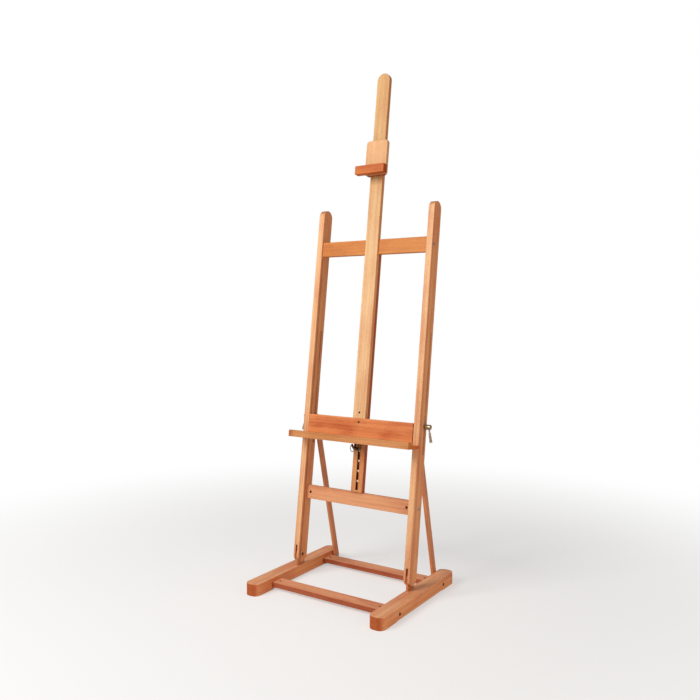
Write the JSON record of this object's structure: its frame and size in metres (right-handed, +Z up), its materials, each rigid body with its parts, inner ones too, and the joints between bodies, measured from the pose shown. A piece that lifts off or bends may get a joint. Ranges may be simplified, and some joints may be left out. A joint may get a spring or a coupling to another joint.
{
  "type": "artist easel",
  "caption": "Wooden H-frame studio easel: a leaning frame on a four-piece base, rear struts with clamp levers, a shelf on a ratchet post and a sliding mast with a canvas clamp.",
  "frame": {"origin": "on the floor, at the middle of the base", "axes": "+X to the right seen from the front, +Y backwards, +Z up"},
  "size_m": [0.6, 0.546, 1.9915],
  "materials": {
    "beech_light": "oiled, satin",
    "beech_bar": "oiled, satin",
    "beech_foot": "oiled, satin",
    "beech_red": "oiled, satin, mottled",
    "beech_dark": "oiled, satin",
    "zinc_steel": "zinc plated",
    "dark_steel": "dull, slightly tarnished",
    "brassed_metal": "brass-plated, tarnished"
  },
  "bodies": {
    "base": {"foot_left": "beech_foot", "foot_right": "beech_foot", "base_bar_front": "beech_bar", "base_bar_rear": "beech_bar", "base_bolts": "zinc_steel", "base_barrel_nuts": "zinc_steel", "tongue_left": "beech_dark", "tongue_right": "beech_dark", "strut_pivot_bolts": "zinc_steel", "strut_spacers": "zinc_steel"},
    "frame": {"upright_left": "beech_light", "upright_right": "beech_light", "top_crossbar": "beech_bar", "lower_crossbar": "beech_bar", "ratchet_post": "beech_light", "post_screws": "zinc_steel", "crossbar_bolts": "zinc_steel", "crossbar_barrel_nuts": "zinc_steel", "pivot_bolts": "zinc_steel"},
    "shelf": {"mast": "beech_light", "mast_joint_plate": "zinc_steel", "shelf_board": "beech_red", "shelf_screws": "dark_steel", "tray_board": "beech_red", "tray_lip": "beech_red", "tray_screws": "zinc_steel", "pawl_ears": "dark_steel", "ear_screws": "zinc_steel"},
    "pawl": {"pawl": "dark_steel", "pawl_shaft": "dark_steel", "pawl_arm": "dark_steel"},
    "pull_ring": {"pull_ring": "dark_steel"},
    "canvas_clamp": {"canvas_clamp_plate": "beech_light", "canvas_clamp_lip": "beech_red", "canvas_clamp_strap": "zinc_steel", "strap_screws": "zinc_steel"},
    "clamp_knob": {"canvas_clamp_screw": "zinc_steel", "canvas_clamp_knob": "beech_dark"},
    "strut_left": {"strut_left": "beech_dark", "clamp_bolt_head_left": "zinc_steel"},
    "strut_right": {"strut_right": "beech_dark", "clamp_bolt_head_right": "zinc_steel"},
    "tilt_clamp_left": {"clamp_washer_left": "zinc_steel"},
    "tilt_clamp_right": {"clamp_washer_right": "zinc_steel"},
    "clamp_lever_left": {"clamp_lever_left": "brassed_metal", "lever_grip_left": "brassed_metal"},
    "clamp_lever_right": {"clamp_lever_right": "brassed_metal", "lever_grip_right": "brassed_metal"}
  },
  "joints": [
    {"name": "frame_tilt", "type": "hinge", "parent": "base", "child": "frame", "pos_m": [0, 0.006, 0.088], "axis": [-1, 0, 0], "range_deg": [-7.68, 22.32]},
    {"name": "strut_left_turn", "type": "hinge", "parent": "base", "child": "strut_left", "pos_m": [-0.231, 0.234, 0.022], "axis": [-1, 0, 0], "range_deg": [-7.68, 22.32]},
    {"name": "strut_right_turn", "type": "hinge", "parent": "base", "child": "strut_right", "pos_m": [0.231, 0.234, 0.022], "axis": [-1, 0, 0], "range_deg": [-7.68, 22.32]},
    {"name": "tilt_clamp_left_slide", "type": "slide", "parent": "frame", "child": "tilt_clamp_left", "axis": [0, 0.1336, 0.991], "range_m": [-0.0324, 0.0922]},
    {"name": "tilt_clamp_right_slide", "type": "slide", "parent": "frame", "child": "tilt_clamp_right", "axis": [0, 0.1336, 0.991], "range_m": [-0.0324, 0.0922]},
    {"name": "clamp_lever_left_turn", "type": "hinge", "parent": "tilt_clamp_left", "child": "clamp_lever_left", "pos_m": [-0.276, 0.09113, 0.62948], "axis": [1, 0, 0], "range_deg": [-90, 90]},
    {"name": "clamp_lever_right_turn", "type": "hinge", "parent": "tilt_clamp_right", "child": "clamp_lever_right", "pos_m": [0.276, 0.09113, 0.62948], "axis": [1, 0, 0], "range_deg": [-90, 90]},
    {"name": "shelf_slide", "type": "slide", "parent": "frame", "child": "shelf", "axis": [0, 0.1336, 0.991], "range_m": [-0.154, 0.308]},
    {"name": "pawl_lift", "type": "hinge", "parent": "shelf", "child": "pawl", "pos_m": [0, 0.04029, 0.52938], "axis": [1, 0, 0], "range_deg": [0, 55]},
    {"name": "ring_swing", "type": "hinge", "parent": "pawl", "child": "pull_ring", "pos_m": [-0.0155, 0.02683, 0.54416], "axis": [0.9135, -0.4067, 0], "range_deg": [-75, 15]},
    {"name": "canvas_clamp_slide", "type": "slide", "parent": "shelf", "child": "canvas_clamp", "axis": [0, 0.1336, 0.991], "range_m": [-0.08, 0.26]},
    {"name": "clamp_knob_turn", "type": "hinge", "parent": "canvas_clamp", "child": "clamp_knob", "pos_m": [0, 0.21648, 1.64887], "axis": [0, 0.991, -0.1336], "range_deg": [0, 360]}
  ],
  "couplings": [
    {"joint": "strut_left_turn", "follows": "frame_tilt", "ratio": 0.996},
    {"joint": "strut_right_turn", "follows": "frame_tilt", "ratio": 0.996},
    {"joint": "tilt_clamp_left_slide", "follows": "frame_tilt", "m_per_rad": 0.234},
    {"joint": "tilt_clamp_right_slide", "follows": "frame_tilt", "m_per_rad": 0.234}
  ]
}
